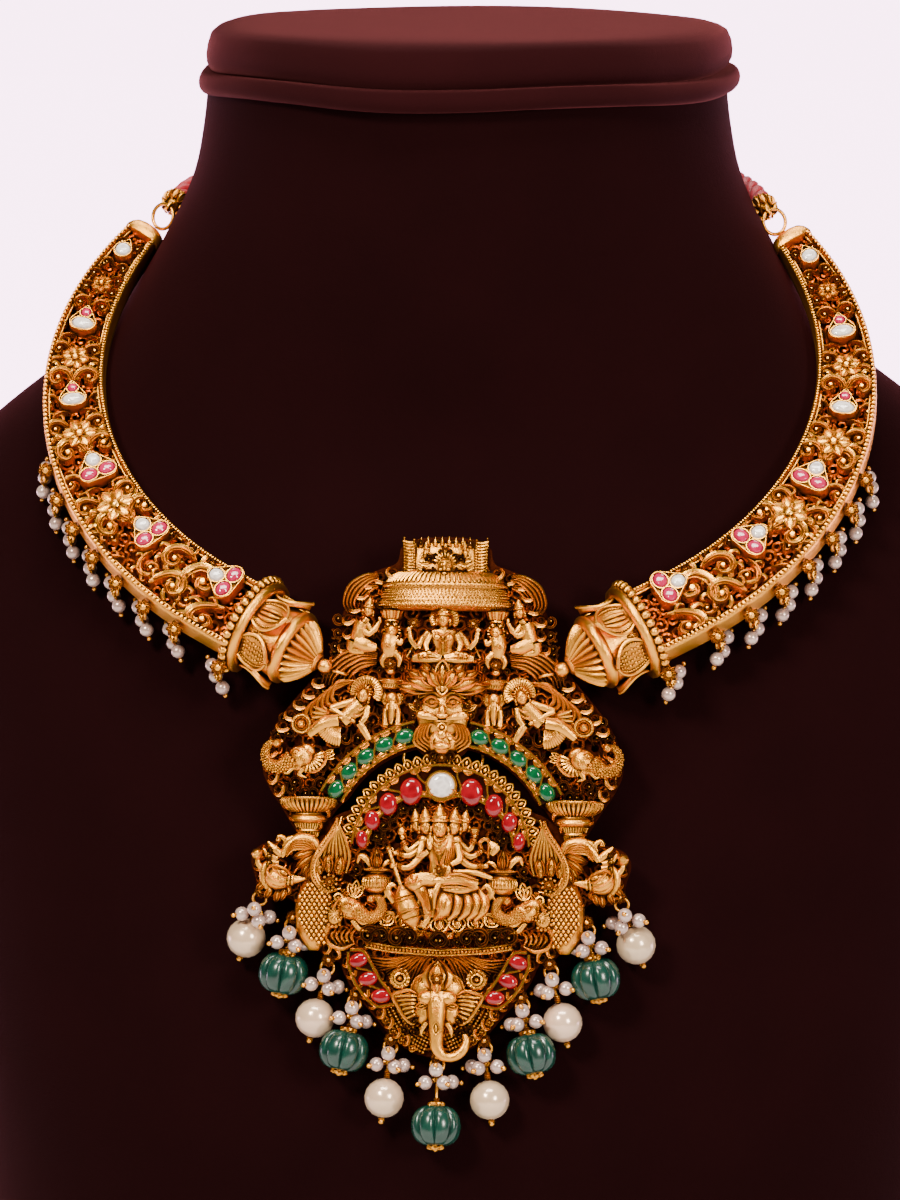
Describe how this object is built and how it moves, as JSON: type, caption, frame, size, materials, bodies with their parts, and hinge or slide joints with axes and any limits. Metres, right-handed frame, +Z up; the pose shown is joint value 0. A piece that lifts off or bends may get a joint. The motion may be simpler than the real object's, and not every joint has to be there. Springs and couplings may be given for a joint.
{
  "type": "temple necklace on neck bust",
  "caption": "Gold temple necklace with two pierced arms, a cast two tier pendant and bead drops, on a velvet neck bust that stands on its flat base.",
  "frame": {"origin": "on the floor under the bust, below the collar's neck", "axes": "+Z up through the neck, -Y towards the front of the chest and the pendant, +X to the bust's left shoulder as it is seen from the front on the right"},
  "size_m": [0.238, 0.1523, 0.3046],
  "materials": {
    "velvet": "dark maroon velvet",
    "silk": "twisted red silk",
    "antique_gold": "cast gold plate, dark in the recesses",
    "pink_stone": "polished pink stone",
    "clear_stone": "uncut clear stone over foil",
    "ruby": "polished red stone",
    "emerald": "polished green stone",
    "melon_stone": "carved green stone",
    "big_pearl": "cream pearl lustre",
    "small_pearl": "silvery pearl lustre"
  },
  "bodies": {
    "root": {"bust_body": "velvet", "bust_cap": "velvet", "neck_cord": "silk", "arm_left": "antique_gold", "arm_right": "antique_gold", "cord_end_left": "antique_gold", "cord_end_right": "antique_gold", "end_ring_left": "antique_gold", "end_ring_right": "antique_gold", "cluster_rings_left": "antique_gold", "cluster_rings_right": "antique_gold", "cluster_pins_left": "antique_gold", "cluster_pins_right": "antique_gold", "side_link_left": "antique_gold", "side_link_right": "antique_gold", "pendant_upper": "antique_gold", "pendant_lower": "antique_gold", "pendant_links": "antique_gold", "drop_rings": "antique_gold", "drop_pins": "antique_gold", "arm_rubies_left": "pink_stone", "arm_rubies_right": "pink_stone", "arm_polkis_left": "clear_stone", "arm_polkis_right": "clear_stone", "centre_polki": "clear_stone", "upper_emeralds": "emerald", "lower_rubies": "ruby", "cluster_pearls_left": "small_pearl", "cluster_pearls_right": "small_pearl", "drop_small_pearls": "small_pearl", "drop_pearl_1": "big_pearl", "drop_pearl_2": "big_pearl", "drop_pearl_3": "big_pearl", "drop_pearl_4": "big_pearl", "drop_pearl_5": "big_pearl", "drop_pearl_6": "big_pearl", "drop_emerald_1": "melon_stone", "drop_emerald_2": "melon_stone", "drop_emerald_3": "melon_stone", "drop_emerald_4": "melon_stone", "drop_emerald_5": "melon_stone"}
  },
  "joints": []
}
